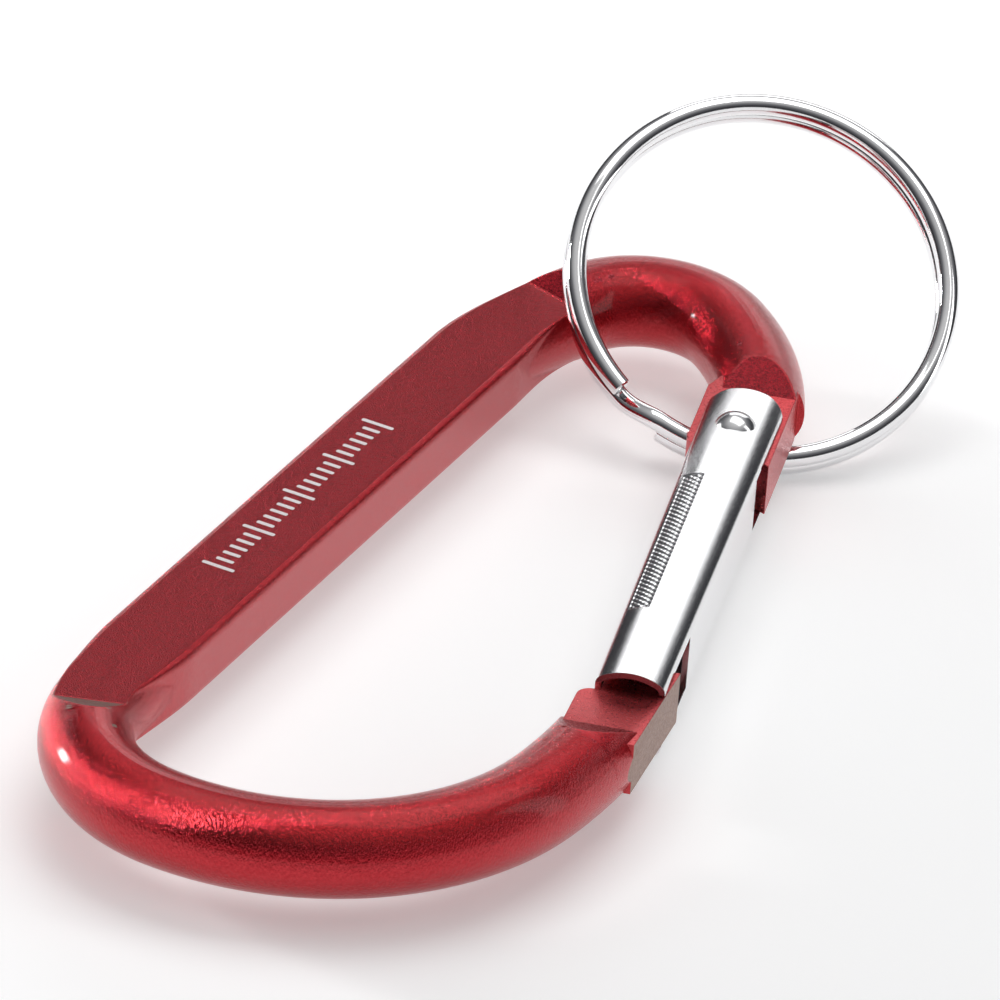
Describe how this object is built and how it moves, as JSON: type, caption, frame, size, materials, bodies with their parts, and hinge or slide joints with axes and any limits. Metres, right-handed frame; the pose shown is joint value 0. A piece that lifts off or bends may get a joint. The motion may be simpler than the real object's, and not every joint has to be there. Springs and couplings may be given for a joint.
{
  "type": "carabiner keyring",
  "caption": "Bent-rod snap clip with a flattened back, an inward-swinging sprung gate on a rivet, and a two-turn split ring hanging from its top bow.",
  "frame": {"origin": "middle of the flat back face of the straight spine", "axes": "+X from the spine to the gate, +Y from the lower bow to the crown bow that carries the ring, +Z out of the front face"},
  "size_m": [0.0345, 0.0883, 0.0182],
  "materials": {
    "red_anodised": "bright red anodised, satin on the pressed flats",
    "gate_steel": "polished, with fine marks along the gate",
    "rivet_metal": "polished dome",
    "spring_wire": "drawn spring wire",
    "plunger_steel": "turned",
    "ring_plate": "bright nickel or chrome plate"
  },
  "bodies": {
    "frame": {"frame_body": "red_anodised"},
    "gate": {"gate_sleeve": "gate_steel", "hinge_rivet": "rivet_metal", "gate_spring": "spring_wire"},
    "plunger": {"spring_plunger": "plunger_steel"},
    "ring": {"key_ring": "ring_plate"}
  },
  "joints": [
    {"name": "gate_hinge", "type": "hinge", "parent": "frame", "child": "gate", "pos_m": [0.01941, 0.02352, 0.00198], "axis": [0, 0, -1], "range_deg": [0, 28], "stiffness_Nm_per_rad": 0.06, "springref_deg": -57.3},
    {"name": "plunger_slide", "type": "slide", "parent": "gate", "child": "plunger", "axis": [0.2639, -0.9646, 0], "range_m": [0, 0.0009], "deforming": ["gate_spring"]},
    {"name": "ring_swing", "type": "hinge", "parent": "frame", "child": "ring", "pos_m": [0.01633, 0.03488, 0.00198], "axis": [0.808, 0.5892, 0], "range_deg": [0, 90]}
  ],
  "couplings": [
    {"joint": "plunger_slide", "follows": "gate_hinge", "m_per_rad": 0.0018}
  ]
}
